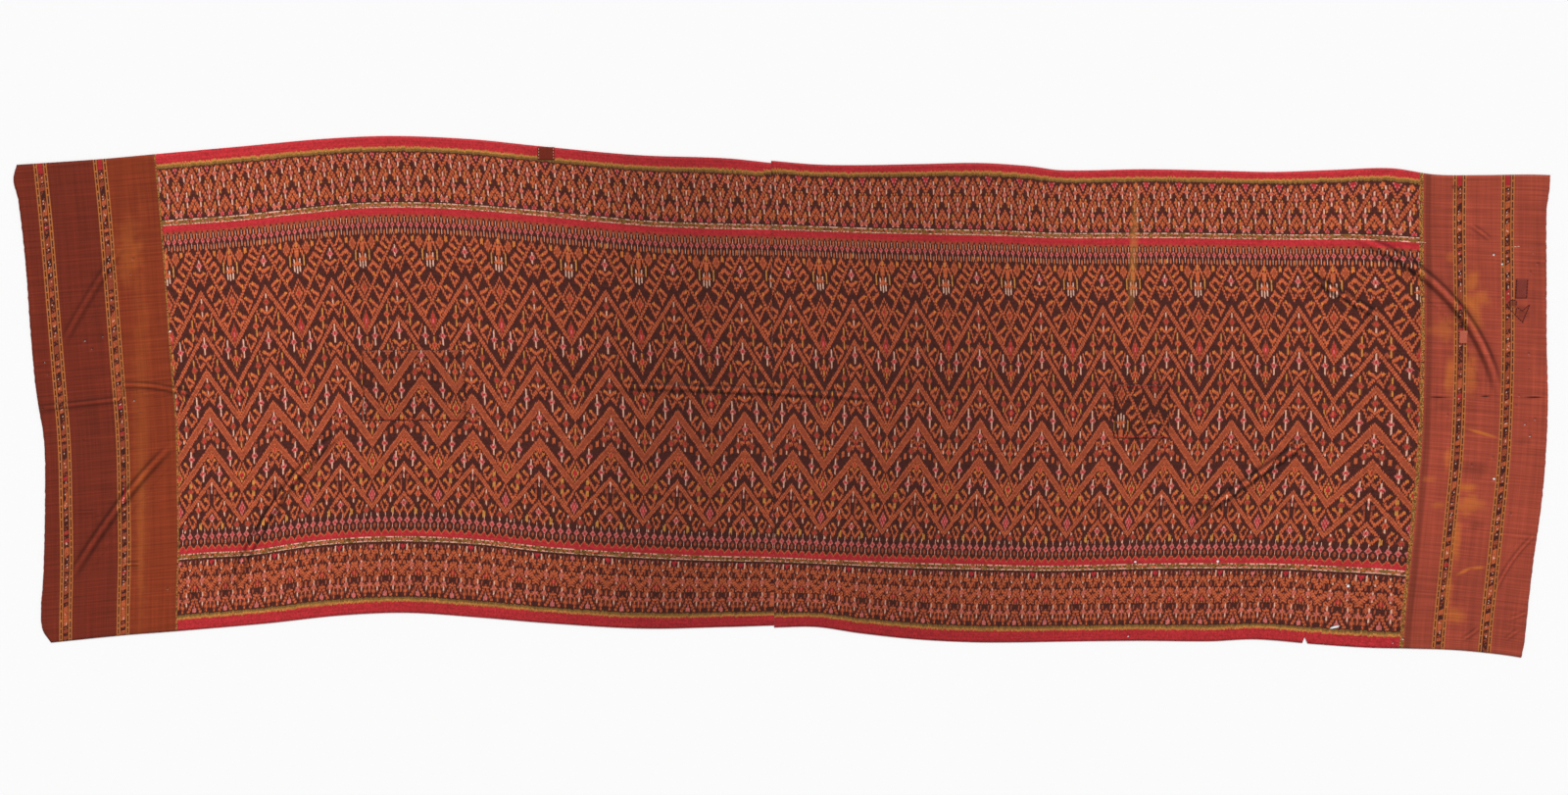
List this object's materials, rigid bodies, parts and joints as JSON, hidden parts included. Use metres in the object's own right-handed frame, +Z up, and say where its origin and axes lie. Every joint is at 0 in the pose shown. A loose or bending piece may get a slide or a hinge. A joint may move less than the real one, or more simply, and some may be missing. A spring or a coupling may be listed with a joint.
{
  "type": "sampot",
  "caption": "Rectangular silk weft-ikat hip wrapper laid out flat, its woven lengths joined across the middle, with repair patches and darns on its face.",
  "frame": {"origin": "under the middle of the laid cloth, on the surface it lies on", "axes": "+X along the cloth towards its right end, +Y across it towards the upper selvage, +Z up from the surface"},
  "size_m": [2.9509, 1.0244, 0.0062],
  "materials": {
    "ikat_silk": "soft silk twill with a low sheen, rust, crimson, cream and olive ikat on dark aubergine",
    "patch_silk": "soft silk twill from another part of an ikat cloth",
    "plain_patch": "plain dull brown silk",
    "darning": "close darning thread"
  },
  "bodies": {
    "root": {"left_length": "ikat_silk", "right_length": "ikat_silk", "field_patch_left": "patch_silk", "field_patch_right": "patch_silk", "selvage_patch": "plain_patch", "stripe_darn": "darning", "end_darn": "darning"}
  },
  "joints": []
}
